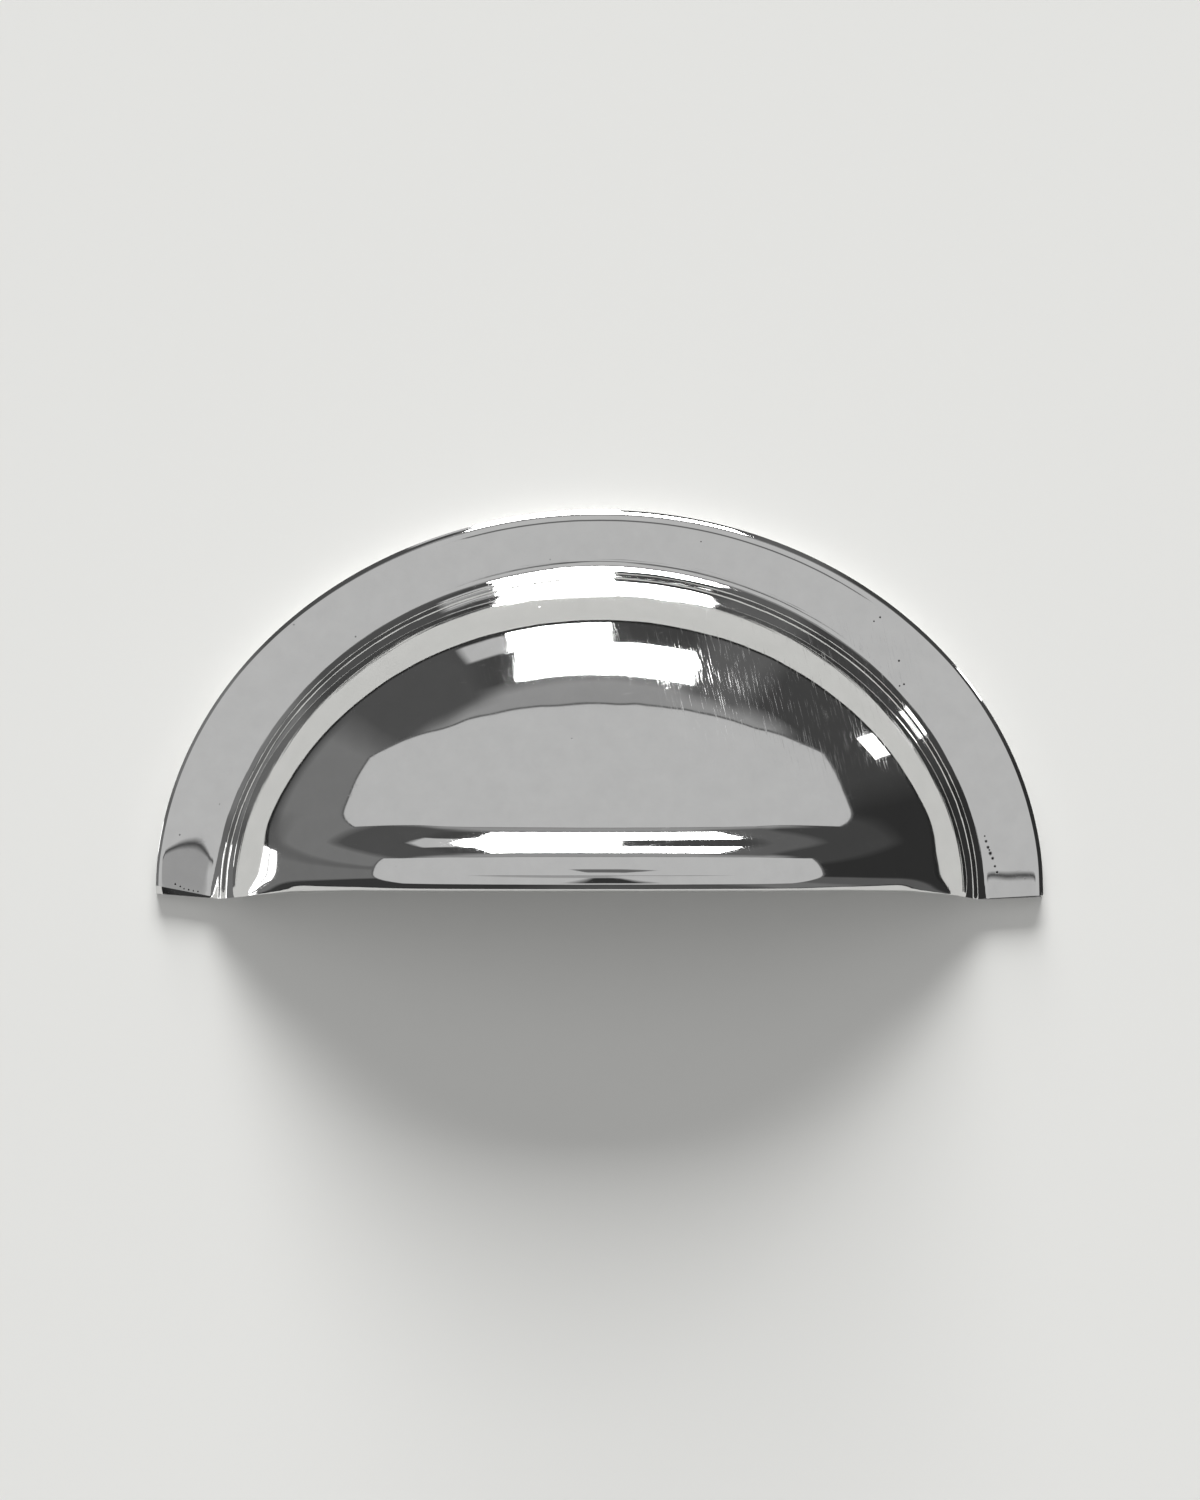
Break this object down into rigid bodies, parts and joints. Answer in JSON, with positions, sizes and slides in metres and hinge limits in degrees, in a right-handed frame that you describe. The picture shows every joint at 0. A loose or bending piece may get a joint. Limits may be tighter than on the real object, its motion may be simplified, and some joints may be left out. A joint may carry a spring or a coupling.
{
  "type": "cup pull",
  "caption": "Half-round cast cup pull: flat flange, stepped moulding, domed cup with a rolled finger lip, screwed on from behind into hidden bosses.",
  "frame": {"origin": "midway between the two fixing holes, on the flat back face", "axes": "+X to the right along the line of the fixing holes, +Y up the drawer front to the top of the arch, +Z out of the drawer front towards the user"},
  "size_m": [0.096, 0.042, 0.0202],
  "materials": {
    "polished_plate": "polished nickel-chrome plate on cast metal, hand-finished, with a few pits and fine scratches"
  },
  "bodies": {
    "root": {"cup_pull": "polished_plate"}
  },
  "joints": []
}
